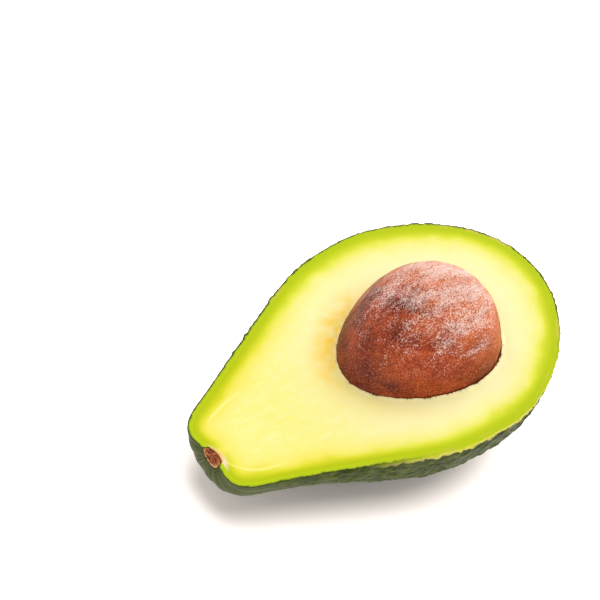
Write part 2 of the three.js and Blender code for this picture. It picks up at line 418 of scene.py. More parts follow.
# Where each of these starts and is full: a pebble's dome and the shade beside its furrow, a pore
# round the pebble's middle, and the rest in millimetres, or in radians round the fruit
DOME, FURROW_SHADE, PORE = (0.0, 0.34), (-0.06, 0.16), (0.16, 0.05)
GREY_NECK, YELLOWED_EDGE = (13.0, 2.0), (24.0, 50.0)
UNDER_RIND = (0.1, 0.3)
SCRAPED_ROUND, SCRAPED_FROM, SCRAPED_TO = (2.2, 2.6), (28.0, 44.0), (96.0, 84.0)
SCRAPED_UNDER, SCRAPED_BELOW = (0.85, 0.6), (1.45, 1.0)

# The furrows' colours are painted shade, darker between the pebbles
FURROW_SHADE_GREENS = ((0.3, "#1a2306"), (0.7, "#28350a"))
PEBBLE_GREENS = ((0.32, "#25320a"), (0.5, "#344110"), (0.68, "#4a531a"))
PORE_OLIVE = "#7a8434"
NECK_GREY, CREASE_GREY = "#3c4426", "#7d8560"
EDGE_LAYERS = ((0.1, "#36431a"), (0.22, "#6f8418"), (0.36, "#a0b01c"), (0.6, "#aaba12"), (0.95, "#aaba0c"))
EDGE_YELLOW = "#c4b650"
SCRAPED_GREENS = ((0.0, "#aab814"), (0.45, "#afb42e"), (0.9, "#b6ae56"))

# For a node that maps a range with a soft start and end
SMOOTH = {"interpolation_type": "SMOOTHSTEP"}


def bezier(a, b, c, d):
    """Points along a cubic curve from a to d, with handles b and c."""
    t = np.linspace(0, 1, BEZIER_STEPS)[:, None]
    a, b, c, d = (np.array(p, float) for p in (a, b, c, d))
    return a * (1 - t) ** 3 + 3 * b * t * (1 - t) ** 2 + 3 * c * t**2 * (1 - t) + d * t**3


def outline(count):
    """Evenly spaced points of the cut's outline, as x and half width, and which way is out."""
    slope = np.array((math.cos(NECK_SLOPE), math.sin(NECK_SLOPE)))
    widest = np.array((WIDEST_AT, HALF_WIDTH))
    neck = bezier((0, 0), (0, NECK_END_HANDLE), NECK_CORNER - NECK_CORNER_HANDLE * slope, NECK_CORNER)
    flank = bezier(NECK_CORNER, NECK_CORNER + FLANK_HANDLE * slope, widest - (SHOULDER_HANDLE, 0), widest)
    blossom = bezier(widest, widest + (BELLY_HANDLE, 0), (LENGTH, BLOSSOM_HANDLE), (LENGTH, 0))
    points = evenly(np.concatenate((neck[:-1], flank[:-1], blossom)), count)
    along = np.gradient(points, axis=0)
    out = np.stack((-along[:, 1], along[:, 0]), axis=1)
    out[0], out[-1] = (-1, 0), (1, 0)
    return points, out / np.hypot(*out.T)[:, None]


def lean_at(x):
    """How far the fruit's middle line leans to one side."""
    neck = np.clip(1 - x / WIDEST_AT, 0, NECK_LEAN_LIMIT)
    blossom = np.maximum(0, (x - WIDEST_AT) / (LENGTH - WIDEST_AT))
    return NECK_LEAN * neck**2 + BLOSSOM_LEAN * blossom**2


def depth_share_at(x):
    """The depth under the cut as a share of the half width, least where the flank is hollow."""
    off_hollow = (x - FLANK_HOLLOW_AT) / FLANK_HOLLOW_REACH
    return BELLY_DEPTH_SHARE - FLANK_HOLLOW_SHARE * np.exp(-(off_hollow**2))


def skin_body():
    """The smooth peel. Each row runs round the outside, over the cut edge, back inside and over the
    other edge, and each point keeps where it is and which way is out."""
    line, out = outline(SKIN_ROWS)
    edge = [step * SKIN_THICKNESS for step in SKIN_EDGE_STEPS]
    outer = np.linspace(0, math.pi, SKIN_COLUMNS)
    inner = np.linspace(math.pi, 0, INNER_COLUMNS)
    under = np.concatenate((0 * outer, edge, 0 * inner + SKIN_THICKNESS, edge[::-1]))
    angle = np.concatenate((outer, [math.pi] * len(edge), inner, [0] * len(edge)))
    x = line[:, :1] - out[:, :1] * under
    r = line[:, 1:] - out[:, 1:] * under
    share = depth_share_at(x)
    points = np.stack((x, r * np.cos(angle) + lean_at(x), -r * share * np.sin(angle)), axis=-1)
    outward = (out[:, :1] + 0 * x, out[:, 1:] * np.cos(angle), -out[:, 1:] * share * np.sin(angle))
    outward = np.stack(outward, axis=-1)
    outward /= np.linalg.norm(outward, axis=-1, keepdims=True)
    kept = {
        # Directions turn with the fruit but don't move with it.
        "outward": (in_frame(outward) - in_frame(0 * outward)) / MM,
        "lift": 1 - under / SKIN_THICKNESS + 0 * x,
        "under": under + 0 * x,
        "along": x,
        "around": angle + 0 * x,
        "below": -points[..., 2],
    }
    return loft("pebbled_skin", points, kept)


def pebble_cells(tree, grown, scale):
    """How far each place is from its pebble's middle, and from the furrow round the pebble."""
    cell = {"Vector": grown, "Scale": scale, "Randomness": PEBBLE_RANDOMNESS}
    return [add(tree, "ShaderNodeTexVoronoi", cell, feature=kind) for kind in ("F1", "DISTANCE_TO_EDGE")]


def uneven(tree, place, patch, detail, least, most, between=(0.3, 0.7), rough=0.5):
    """Noise in patches of one size, which runs from one value to another."""
    cloud = {"Vector": place, "Scale": 1 / patch, "Detail": detail, "Roughness": rough}
    noise = add(tree, "ShaderNodeTexNoise", cloud)
    spread = {"Value": noise, 1: between[0], 2: between[1], 3: least, 4: most}
    return add(tree, "ShaderNodeMapRange", spread)


def where(tree, *ranges, share=1.0, **settings):
    """The share of a colour where it depends on several values. Each range is a value, where it
    starts to count and where it counts in full."""
    for value, start, full in ranges:
        counts = add(tree, "ShaderNodeMapRange", {"Value": value, 1: start, 2: full}, **settings)
        share = add(tree, "ShaderNodeMath", {0: share, 1: counts}, operation="MULTIPLY")
    return share


def skin_shape_tree(sizes, material):
    """Pebbles on slow swells, fading to pleats at the neck, and flat where the fruit is lain on."""
    tree, given = new_shape_tree("pebbles_and_pleats", sizes)
    rest = place_in_mm(tree)
    outward = add(tree, "GeometryNodeInputNamedAttribute", {"Name": "outward"}, data_type="FLOAT_VECTOR")
    lift, along, around = kept_values(tree, "lift", "along", "around")
    grown = add(tree, "ShaderNodeVectorMath", {0: rest, 1: PEBBLE_STRETCH}, operation="MULTIPLY")
    for scale, detail, push in PEBBLE_WARPS:
        warp = add(tree, "ShaderNodeTexNoise", {"Vector": rest, "Scale": scale, "Detail": detail}, "Color")
        pushed = {0: warp, 1: (push,) * 3, 2: grown}
        grown = add(tree, "ShaderNodeVectorMath", pushed, operation="MULTIPLY_ADD")
    scale = add(tree, "ShaderNodeMath", {0: 1.0, 1: given["Pebble spacing"]}, operation="DIVIDE")
    cells, furrows = pebble_cells(tree, grown, scale)
    dome = where(tree, (furrows, *DOME), **SMOOTH)
    lot = add(tree, "FunctionNodeSeparateColor", {0: cells.node.outputs["Color"]})
    size = add(tree, "ShaderNodeMapRange", {"Value": lot, 3: 0.35, 4: 1.0})
    pebble = add(tree, "ShaderNodeMath", {0: dome, 1: size}, operation="MULTIPLY")
    pebbled = add(tree, "ShaderNodeMath", {0: pebble, 1: given["Pebble rise"]}, operation="MULTIPLY")
    scale = add(tree, "ShaderNodeMath", {0: 1.0, 1: given["Swell spacing"]}, operation="DIVIDE")
    swell = add(tree, "ShaderNodeTexNoise", {"Vector": rest, "Scale": scale, "Detail": 1.0})
    swollen = {0: swell, 1: given["Swell rise"], 2: pebbled}
    rough = add(tree, "ShaderNodeMath", swollen, operation="MULTIPLY_ADD")
    from_neck = {"Value": along, 1: given["Neck start"], 2: given["Neck end"], 3: 0.06}
    off_neck = add(tree, "ShaderNodeMapRange", from_neck, **SMOOTH)
    rise = add(tree, "ShaderNodeMath", {0: rough, 1: off_neck}, operation="MULTIPLY")
    to_neck = {"Value": along, 1: given["Pleats start"], 2: given["Pleats reach"], 3: 1.0, 4: 0.0}
    at_neck = add(tree, "ShaderNodeMapRange", to_neck, **SMOOTH)
    turn = add(tree, "ShaderNodeMath", {0: around, 1: given["Pleats"]}, operation="MULTIPLY")
    wave = add(tree, "ShaderNodeMath", {0: turn}, operation="COSINE")
    # Finer creases between the pleats, drawn towards the stem
    count = add(tree, "ShaderNodeMath", {0: around, 1: given["Creases"]}, operation="MULTIPLY")
    drawn = add(tree, "ShaderNodeMath", {0: along, 1: CREASE_DRAWN_OUT}, operation="MULTIPLY")
    lines_at = add(tree, "ShaderNodeCombineXYZ", {0: count, 1: drawn})
    lines = add(tree, "ShaderNodeTexNoise", {"Vector": lines_at, "Scale": 0.45, "Detail": 2.0})
    line = add(tree, "ShaderNodeMapRange", {"Value": lines, 1: 0.35, 2: 0.65, 3: -1.0, 4: 1.0})
    for fold, size in ((wave, "Pleat rise"), (line, "Crease rise")):
        crease = add(tree, "ShaderNodeMath", {0: fold, 1: at_neck}, operation="MULTIPLY")
        rise = add(tree, "ShaderNodeMath", {0: crease, 1: given[size], 2: rise}, operation="MULTIPLY_ADD")
    height = add(tree, "ShaderNodeMath", {0: rise, 1: lift}, operation="MULTIPLY")
    kept = keep(tree, given["Geometry"], "grown", grown, "FLOAT_VECTOR")
    raised = lift_surface(tree, keep(tree, kept, "crease", crease), outward, height)
    place = add(tree, "GeometryNodeInputPosition")
    flattened = add(tree, "ShaderNodeVectorMath", {0: place, 1: SUNK_AT_MOST}, operation="MAXIMUM")
    pressed = add(tree, "GeometryNodeSetPosition", {"Geometry": raised, "Position": flattened})
    finish_shape(tree, pressed, material)
    return tree


def skin_material():
    """Ripe avocado peel: waxy, grown in pebbles. The pebbles are dark green and some have an olive
    pore, the furrows are painted darkest as painted shade, and the wax gives it a soft grey shine."""
    material, tree = new_material("avocado_peel")
    grown = add(tree, "ShaderNodeAttribute", out="Vector", attribute_name="grown")
    under, along, around, below, crease = kept_values(tree, "under", "along", "around", "below", "crease")
    cells, furrows = pebble_cells(tree, grown, 1 / skin_sizes["Pebble spacing"])
    patches = add(tree, "ShaderNodeTexNoise", {"Vector": grown, "Scale": 1 / 7.0, "Detail": 3.0})
    # Painted shade: the furrows between the pebbles are painted darker
    furrow_shade_colour = add(tree, "ShaderNodeValToRGB", {0: patches}, stops=FURROW_SHADE_GREENS)
    slope = where(tree, (furrows, *FURROW_SHADE), **SMOOTH)
    mixed = add(tree, "ShaderNodeTexNoise", {"Vector": grown, "Scale": 1 / 2.6, "Detail": 5.0})
    top = add(tree, "ShaderNodeValToRGB", {0: mixed}, stops=PEBBLE_GREENS)
    risen = add(tree, "ShaderNodeMix", {0: slope, 6: furrow_shade_colour, 7: top}, **COLOURS)
    # Each pore's outline is ragged, and not every pebble has one.
    lot = add(tree, "ShaderNodeSeparateColor", {0: cells.node.outputs["Color"]}, 1)
    strength = add(tree, "ShaderNodeMapRange", {"Value": lot, 1: 0.3, 4: 0.6})
    ragged = uneven(tree, grown, 0.5, 3.0, -0.07, 0.07)
    from_pore = add(tree, "ShaderNodeMath", {0: cells, 1: ragged}, operation="ADD")
    on_pore = {"Value": from_pore, 1: PORE[0], 2: PORE[1], 4: strength}
    pore = add(tree, "ShaderNodeMapRange", on_pore, **SMOOTH)
    pore_share = where(tree, (along, *SMOOTH_NECK), share=pore, **SMOOTH)
    dotted = add(tree, "ShaderNodeMix", {0: pore_share, 6: risen, 7: linear(PORE_OLIVE)}, **COLOURS)
    # The smooth neck end is greyer, with pale creases
    greyed = cover(tree, dotted, NECK_GREY, along, *GREY_NECK, 0.75, **SMOOTH)
    creased = cover(tree, greyed, CREASE_GREY, crease, 0.1, 0.9, 0.35)
    # Across the cut edge: dark rind, a thin yellowed line in places, then the green of the flesh
    ragged = uneven(tree, grown, 0.9, 2.0, -0.18, 0.18)
    from_rind = add(tree, "ShaderNodeMath", {0: under, 1: ragged}, operation="ADD")
    edge = add(tree, "ShaderNodeMapRange", {"Value": from_rind, 2: SKIN_THICKNESS})
    layers = add(tree, "ShaderNodeValToRGB", {0: edge}, stops=EDGE_LAYERS)
    tired = uneven(tree, grown, 9.0, 3.0, 0.0, 0.8, (0.5, 0.62))
    line = where(tree, (along, *YELLOWED_EDGE), (edge, 0.75, 0.5), share=tired)
    yellowed = add(tree, "ShaderNodeMix", {0: line, 6: layers, 7: linear(EDGE_YELLOW)}, **COLOURS)
    inside = where(tree, (under, *UNDER_RIND))
    grown_colour = add(tree, "ShaderNodeMix", {0: inside, 6: creased, 7: yellowed}, **COLOURS)
    # On the belly's near side the knife scraped the dark rind off just under the cut
    ragged = uneven(tree, grown, 1.8, 4.0, -0.7, 0.7, rough=0.65)
    down = add(tree, "ShaderNodeMath", {0: below, 1: ragged}, operation="ADD")
    near_side = where(tree, (around, *SCRAPED_ROUND), (along, *SCRAPED_FROM), (along, *SCRAPED_TO))
    scraped_share = where(tree, (under, *SCRAPED_UNDER), (down, *SCRAPED_BELOW), share=near_side)
    scraped = add(tree, "ShaderNodeValToRGB", {0: down}, stops=SCRAPED_GREENS)
    colour = add(tree, "ShaderNodeMix", {0: scraped_share, 6: grown_colour, 7: scraped}, **COLOURS)
    roughness = uneven(tree, grown, 1.4, 4.0, 0.32, 0.5)
    grain = add(tree, "ShaderNodeTexNoise", {"Vector": grown, "Scale": 1 / 0.35, "Detail": 3.0})
    waxy = {"Base Color": colour, "Roughness": roughness, "IOR": 1.4, "Specular IOR Level": 0.06}
    finish_material(tree, waxy, grain, strength=0.25, depth=0.05)
    return material


skin = skin_body()
shape(skin, skin_shape_tree(skin_sizes, skin_material()), skin_sizes, cut_by=pocket)
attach(skin, "root")
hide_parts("skin")

# Flesh: the soft, oily inside of the fruit, grown onto the skin. The knife leaves it flat, and the
# seed's hollow in it has a slightly torn rim. It is green next to the skin and cream further in.
SEED_AT = np.array((59.7, -1.6, -1.7))
SEED_HALF_LENGTH = 21.1
SEED_RADIUS = 17.3
SEED_FULLNESS = 0.95
SEED_TAPER = 0.22
SEED_HEIGHT = 1.08
SEED_CLEARANCE = 0.05
SEED_HALVINGS = 30
FLESH_COLUMNS = 540
FLESH_EDGE_POINTS = 600
HOLLOW_ROWS = 26
CUT_ROWS = 96
BACK_ROWS = 26
flesh_sizes = {"Skin": skin, "Knife wave": 0.16, "Collar rise": 0.45, "Collar width": 1.1}
# The green reaches this far in, and further on the far side and the belly: for each millimetre
# along and across, this much more.
GREEN_REACH, REACH_ALONG, REACH_ACROSS = 9.3, 0.05, 0.06
# Veins in the neck: where each settles across the axis, its swing, its bend, its start and its end
NECK_VEINS = ((-12.0, 13.3, 3.2, 0.5, 15.0), (10.5, -7.0, 9.0, 4.0, 18.0))
# Where each of these starts and is full, in millimetres: in from the skin, out from the hollow or
# the stem, along the fruit or across it
WAVY, BLOTCHY, INNER, YELLOW_NECK = (0.1, 3.0), (0.2, 3.5), (3.5, 8.0), (50.0, 18.0)
STAIN_OUT, STAIN_ALONG, STAIN_ACROSS = (8.5, 1.8), (64.0, 46.0), (-6.0, 7.0)
COLLAR_HIGHLIGHT_OUT = (0.9, 0.2)
STEM_OUT, PINK_ACROSS = (1.2, 3.8), (-2.0, -4.0)
FIBRE_STRETCH = (0.16, 1.0, 1.0)
STEM_TISSUE_AT = (-0.3, -1.55, 0.0)
STEM_TISSUE_STRETCH = (1.0, 0.62, 1.0)

FLESH_BANDS = (
    (0.0, "#aaba0c"),
    (0.07, "#b2c010"),
    (0.14, "#c3ca28"),
    (0.22, "#d6d64c"),
    (0.32, "#e1dc7a"),
    (0.5, "#e8e196"),
    (0.8, "#ebe4a8"),
)
NECK_YELLOW = "#fbf3a8"
MOTTLE_CREAM, FIBRE_CREAM, VEIN_YELLOW = "#efe7c0", "#efe8b8", "#f2ea9c"
STAIN_GOLD = "#f3c42a"
# Pale cream painted on the collar at the hollow as a highlight
COLLAR_HIGHLIGHT_CREAM = "#eadca8"
STEM_TISSUE = ((0.0, "#c47430"), (0.3, "#dc9a58"), (0.6, "#e2c488"), (1.0, "#dcd890"))
STEM_TISSUE_PINK = "#ecd2b4"


def seed_radius_at(x, clearance):
    """The seed's radius across, at x from its middle, positive towards the blossom end."""
    turn = np.arccos(np.clip(-x / (SEED_HALF_LENGTH + clearance), -1, 1))
    return (SEED_RADIUS + clearance) * np.sin(turn) ** SEED_FULLNESS * (1 - SEED_TAPER * np.cos(turn))


def seed_reach(start, ray, clearance):
    """How far each ray from inside the seed's shape runs before it leaves it."""
    near = np.zeros(ray.shape[:-1])
    far = near + 2 * SEED_HALF_LENGTH
    for _ in range(SEED_HALVINGS):
        middle = (near + far) / 2
        at = start + ray * middle[..., None]
        radius = seed_radius_at(at[..., 0], clearance)
        inside = at[..., 1] ** 2 + (at[..., 2] / SEED_HEIGHT) ** 2 < radius**2
        near, far = np.where(inside, middle, near), np.where(inside, far, middle)
    return near


def rays_round(count):
    """Level rays on all sides, each with its bearing."""
    bearing = np.linspace(0, 2 * math.pi, count, endpoint=False)
    return bearing, np.stack((np.cos(bearing), np.sin(bearing), 0 * bearing), axis=-1)


def flesh_body():
    """The flesh, in rings round the seed: the hollow, the cut face and the back."""
    bearing, level = rays_round(FLESH_COLUMNS)
    cut_height = -SEED_AT[2]
    over_seed = SEED_AT * (1, 1, 0)
    rim = seed_reach(np.array((0, 0, cut_height)), level, SEED_CLEARANCE)
    line, out = outline(FLESH_EDGE_POINTS)
    edge = line - out * SKIN_THICKNESS
    lean = lean_at(edge[:, 0])
    sides = [np.stack((edge[:, 0], lean + side * edge[:, 1]), axis=-1) for side in (1, -1)]
    offset = np.concatenate((sides[0], sides[1][::-1])) - SEED_AT[:2]
    outer = np.interp(bearing, np.arctan2(*offset.T[::-1]), np.hypot(*offset.T), period=2 * math.pi)
    # The hollow, from its lowest point up to its rim
    share = np.linspace(0, 1, HOLLOW_ROWS, endpoint=False)[:, None]
    climb = -math.pi / 2 + (np.arctan2(cut_height, rim) + math.pi / 2) * share
    ray = np.stack((np.cos(climb) * level[:, 0], np.cos(climb) * level[:, 1], np.sin(climb)), axis=-1)
    hollow = SEED_AT + ray * seed_reach(np.zeros(3), ray, SEED_CLEARANCE)[..., None]
    # The cut face, from the rim of the hollow to the skin
    share = np.linspace(0, 1, CUT_ROWS)[:, None]
    reach = rim + (outer - rim) * share
    cut = over_seed + reach[..., None] * level
    # The back, from the skin's edge down to the middle of the belly
    share = np.sin(np.linspace(1, 0, BACK_ROWS + 1)[1:, None] * math.pi / 2)
    back = over_seed + (outer * share)[..., None] * level
    x, y = back[..., 0], back[..., 1]
    from_end = edge[np.argmin(edge[:, 0]) :]
    width = np.interp(x, from_end[:, 0], from_end[:, 1])
    back[..., 2] = -depth_share_at(x) * np.sqrt(np.maximum(0, width**2 - (y - lean_at(x)) ** 2))
    points = np.concatenate((hollow, cut, back))
    in_hollow = 0 * hollow[..., 0]
    kept = {
        "from_hollow": np.concatenate((in_hollow, reach - rim, 0 * x + LENGTH)),
        "on_cut": np.concatenate((in_hollow, 1 + 0 * reach, 0 * x)),
        "along": points[..., 0],
        "across": points[..., 1],
    }
    return loft("ripe_flesh", points, kept)


def flesh_shape_tree(sizes, material):
    """Slow knife waves on the cut face and a torn collar at the hollow's rim, and how far each
    point is from the skin, which gives the flesh its colour."""
    tree, given = new_shape_tree("cut_face", sizes)
    rest = place_in_mm(tree)
    on_cut, from_hollow = kept_values(tree, "on_cut", "from_hollow")
    skin_mesh = add(tree, "GeometryNodeObjectInfo", {"Object": given["Skin"]}, "Geometry")
    gap = add(tree, "GeometryNodeProximity", {0: skin_mesh}, "Distance", target_element="FACES")
    gap_mm = add(tree, "ShaderNodeMath", {0: gap, 1: 1 / MM}, operation="MULTIPLY")
    measured = keep(tree, given["Geometry"], "from_skin", gap_mm)
    wave = uneven(tree, rest, 16.0, 2.0, -1.0, 1.0)
    settled = where(tree, (gap_mm, *WAVY), share=wave, **SMOOTH)
    waved = add(tree, "ShaderNodeMath", {0: settled, 1: given["Knife wave"]}, operation="MULTIPLY")
    tear = uneven(tree, rest, 2.2, 4.0, 0.1, 1.0, (0.35, 0.65))
    to_rim = {"Value": from_hollow, 1: 0.0, 2: given["Collar width"], 3: 1.0, 4: 0.0}
    near = add(tree, "ShaderNodeMapRange", to_rim, **SMOOTH)
    collar = add(tree, "ShaderNodeMath", {0: tear, 1: near}, operation="MULTIPLY")
    torn = {0: collar, 1: given["Collar rise"], 2: waved}
    height = add(tree, "ShaderNodeMath", torn, operation="MULTIPLY_ADD")
    kept = add(tree, "ShaderNodeMath", {0: height, 1: on_cut}, operation="MULTIPLY")
    up = (-math.sin(PITCH), 0.0, math.cos(PITCH))
    finish_shape(tree, lift_surface(tree, measured, up, kept), material)
    return tree


def flesh_material():
    """Ripe avocado flesh: soft, oily and slightly see-through, lime green next to the skin and
    butter yellow from about 5 mm in. It is stained warmer beside the hollow and at the stem."""
    material, tree = new_material("avocado_flesh")
    from_skin, from_hollow, along, across = kept_values(tree, "from_skin", "from_hollow", "along", "across")
    place = add(tree, "ShaderNodeTexCoord", out="Object")
    shift = uneven(tree, place, 8 * MM, 4.0, -0.9, 0.9)
    deep = where(tree, (from_skin, *BLOTCHY), **SMOOTH)
    depth = add(tree, "ShaderNodeMath", {0: shift, 1: deep, 2: from_skin}, operation="MULTIPLY_ADD")
    reach = GREEN_REACH
    for value, gain in ((along, REACH_ALONG), (across, REACH_ACROSS)):
        reach = add(tree, "ShaderNodeMath", {0: value, 1: gain, 2: reach}, operation="MULTIPLY_ADD")
    share = add(tree, "ShaderNodeMath", {0: depth, 1: reach}, operation="DIVIDE", use_clamp=True)
    bands = add(tree, "ShaderNodeValToRGB", {0: share}, stops=FLESH_BANDS)
    neck = where(tree, (along, *YELLOW_NECK), share=0.8, **SMOOTH)
    neck_yellow = {0: neck, 6: bands, 7: linear(NECK_YELLOW)}
    yellowed = add(tree, "ShaderNodeMix", neck_yellow, blend_type="MULTIPLY", **COLOURS)
    # Cream mottling all over the inner flesh, and fibres that run lengthwise
    mottle = add(tree, "ShaderNodeTexNoise", {"Vector": place, "Scale": 1 / (1.7 * MM), "Detail": 4.0})
    mottled = cover(tree, yellowed, MOTTLE_CREAM, mottle, 0.45, 0.75, 0.2)
    inner = where(tree, (from_skin, *INNER), **SMOOTH)
    clouded = add(tree, "ShaderNodeMix", {0: inner, 6: yellowed, 7: mottled}, **COLOURS)
    drawn = add(tree, "ShaderNodeMapping", {"Vector": place, "Scale": FIBRE_STRETCH})
    fibres = uneven(tree, drawn, 1.3 * MM, 3.0, 0.0, 0.3, (0.5, 0.75))
    fibre = add(tree, "ShaderNodeMath", {0: fibres, 1: inner}, operation="MULTIPLY")
    veined = add(tree, "ShaderNodeMix", {0: fibre, 6: clouded, 7: linear(FIBRE_CREAM)}, **COLOURS)
    # A pale vein on each side comes out of the stem and bends along the neck
    for settles_at, swing, bend, starts, ends in NECK_VEINS:
        turned_by = add(tree, "ShaderNodeMath", {0: along, 1: -1 / bend}, operation="MULTIPLY")
        fading = add(tree, "ShaderNodeMath", {0: turned_by}, operation="EXPONENT")
        course = {0: fading, 1: swing, 2: settles_at}
        vein_at = add(tree, "ShaderNodeMath", course, operation="MULTIPLY_ADD")
        off_vein = add(tree, "ShaderNodeMath", {0: across, 1: vein_at}, operation="SUBTRACT")
        wavy = add(tree, "ShaderNodeMath", {0: shift, 1: 0.25, 2: off_vein}, operation="MULTIPLY_ADD")
        from_vein = add(tree, "ShaderNodeMath", {0: wavy}, operation="ABSOLUTE")
        on_vein = add(tree, "ShaderNodeMapRange", {"Value": from_vein, 1: 0.55, 2: 0.1, 4: 0.45})
        vein = where(tree, (along, starts, starts + 2), (along, ends, ends - 6), share=on_vein)
        veined = add(tree, "ShaderNodeMix", {0: vein, 6: veined, 7: linear(VEIN_YELLOW)}, **COLOURS)
    # The golden stain beside the hollow, on its neck side and strongest on the far side
    cloud = uneven(tree, place, 4 * MM, 4.0, 0.315, 0.9, (0.34, 0.6))
    beside = where(tree, (from_hollow, *STAIN_OUT), (along, *STAIN_ALONG), share=cloud, **SMOOTH)
    sideways = {"Value": across, 1: STAIN_ACROSS[0], 2: STAIN_ACROSS[1], 3: 0.25}
    far_side = add(tree, "ShaderNodeMapRange", sideways, **SMOOTH)
    stain = add(tree, "ShaderNodeMath", {0: beside, 1: far_side}, operation="MULTIPLY")
    stained = add(tree, "ShaderNodeMix", {0: stain, 6: veined, 7: linear(STAIN_GOLD)}, **COLOURS)
    # Painted highlight: the torn collar right at the hollow is painted pale where its raised lip catches
    # the light
    collar_highlighted = cover(tree, stained, COLLAR_HIGHLIGHT_CREAM, from_hollow, *COLLAR_HIGHLIGHT_OUT, 0.5, **SMOOTH)
    # Corky tissue round the stem stub: orange beside it, then pinkish white on the near side
    spot = add(tree, "ShaderNodeCombineXYZ", {0: along, 1: across})
    squeezed = add(tree, "ShaderNodeVectorMath", {0: spot, 1: STEM_TISSUE_STRETCH}, operation="MULTIPLY")
    to_stem = {0: squeezed, 1: STEM_TISSUE_AT}
    from_stem = add(tree, "ShaderNodeVectorMath", to_stem, "Value", operation="DISTANCE")
    wandering = add(tree, "ShaderNodeMath", {0: shift, 1: 0.5, 2: from_stem}, operation="MULTIPLY_ADD")
    off_stem = where(tree, (wandering, *STEM_OUT))
    orange = add(tree, "ShaderNodeValToRGB", {0: off_stem}, stops=STEM_TISSUE)
    pale = cover(tree, orange, STEM_TISSUE_PINK, across, *PINK_ACROSS, 0.85)
    at_stem = where(tree, (off_stem, 0.85, 0.3), **SMOOTH)
    colour = add(tree, "ShaderNodeMix", {0: at_stem, 6: collar_highlighted, 7: pale}, **COLOURS)
    fine = add(tree, "ShaderNodeTexNoise", {"Vector": place, "Scale": 1 / (0.7 * MM), "Detail": 4.0})
    roughness = add(tree, "ShaderNodeMapRange", {"Value": fine, 1: 0.3, 2: 0.7, 3: 0.42, 4: 0.6})
    oily = {"Base Color": colour, "Roughness": roughness, "IOR": 1.42, "Specular IOR Level": 0.1}
    # Light gets about a millimetre into the flesh.
    soft = {
        "Subsurface Weight": 0.15,
        "Subsurface Radius": (1.0, 0.9, 0.35),
        "Subsurface Scale": 1.0 * MM,
    }
    finish_material(tree, {**oily, **soft}, fine, strength=0.3, depth=0.08)
    return material


flesh = flesh_body()
shape(flesh, flesh_shape_tree(flesh_sizes, flesh_material()), flesh_sizes, cut_by=pocket)
bpy.data.objects.remove(pocket)
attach(flesh, "root")
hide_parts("flesh")

# Seed: one hard seed, egg-shaped with its narrow end towards the neck, loose in its hollow. Its
# thin brown coat is mottled, finely grained and papery where it has dried on top; the white on top is
# partly a painted sheen, and its colour holds painted light on the lit side and painted shade on the neck
# side and at the flesh.
SEED_ROWS = 180
SEED_COLUMNS = 300
SEED_LOBES = 3
SEED_LOBE_RISE = 0.25
seed_sizes = {"Coat crease": 0.12, "Coat grain": 0.05}
CREASE_STRETCH = (0.25, 1.0, 1.0)
# Streaks in the coat's colour run from end to end.
COAT_DRAWN = {"Rotation": (0.0, -0.35, 0.3), "Scale": (0.4, 1.0, 1.0)}

COAT_BROWNS = ((0.3, "#561a0c"), (0.42, "#822c12"), (0.53, "#a6421c"), (0.66, "#bb5420"), (0.78, "#c76e34"))
# Each tint's side of the seed, the reach at which it starts and is full, its most and its colour:
# purplish at the neck, partly painted shade on the side away from the light; orange where it is
# damp against the flesh, with painted shade at that contact; and paler on the lit side, painted light
COAT_TINTS_AND_PAINTED_SHADING = (
    ((-0.95, 0.2, -0.2), 0.1, 1.0, 0.7, "#541c16"),
    ((0.1, -1.0, -0.1), 0.35, 0.9, 0.65, "#852c02"),
    ((0.72, 0.1, 0.68), 0.4, 1.05, 0.6, "#df7a44"),
)
GRAIN_LIGHT, GRAIN_DARK, HAIR_BROWN = "#da9168", "#3a110a", "#43150a"
# The coat's white on top: partly dried bloom, partly a painted sheen where the light falls
BLOOM_AND_SHEEN_SIDE = (0.25, 0.11, 0.95)
BLOOM_AND_SHEEN_WHITE = "#dec8be"


def seed_body():
    """The smooth seed, with its three faint lobes."""
    turn = np.linspace(0, math.pi, SEED_ROWS)[:, None]
    angle = np.linspace(0, 2 * math.pi, SEED_COLUMNS, endpoint=False)
    x = -SEED_HALF_LENGTH * np.cos(turn)
    radius = seed_radius_at(x, 0)
    round_axis = (x + 0 * angle, radius * np.cos(angle), SEED_HEIGHT * radius * np.sin(angle))
    points = np.stack(round_axis, axis=-1)
    off_axis = np.minimum(1, np.linalg.norm(points[..., 1:], axis=-1) / SEED_RADIUS)
    swelling = np.cos(SEED_LOBES * angle + x / SEED_HALF_LENGTH)
    away = np.linalg.norm(points, axis=-1)
    grown = points * (1 + SEED_LOBE_RISE * swelling * off_axis / away)[..., None]
    return loft("brown_seed", SEED_AT + grown, {})


def seed_shape_tree(sizes, material):
    """Fine creases that run from end to end, and the grain of the dry coat."""
    tree, given = new_shape_tree("seed_coat", sizes)
    rest = place_in_mm(tree)
    drawn = add(tree, "ShaderNodeVectorMath", {0: rest, 1: CREASE_STRETCH}, operation="MULTIPLY")
    fold = uneven(tree, drawn, 2.6, 2.0, -1.0, 0.6)
    grain = uneven(tree, rest, 0.7, 2.0, -1.0, 1.0)
    creased = add(tree, "ShaderNodeMath", {0: fold, 1: given["Coat crease"]}, operation="MULTIPLY")
    grained = {0: grain, 1: given["Coat grain"], 2: creased}
    height = add(tree, "ShaderNodeMath", grained, operation="MULTIPLY_ADD")
    normal = add(tree, "GeometryNodeInputNormal")
    finish_shape(tree, lift_surface(tree, given["Geometry"], normal, height), material)
    return tree


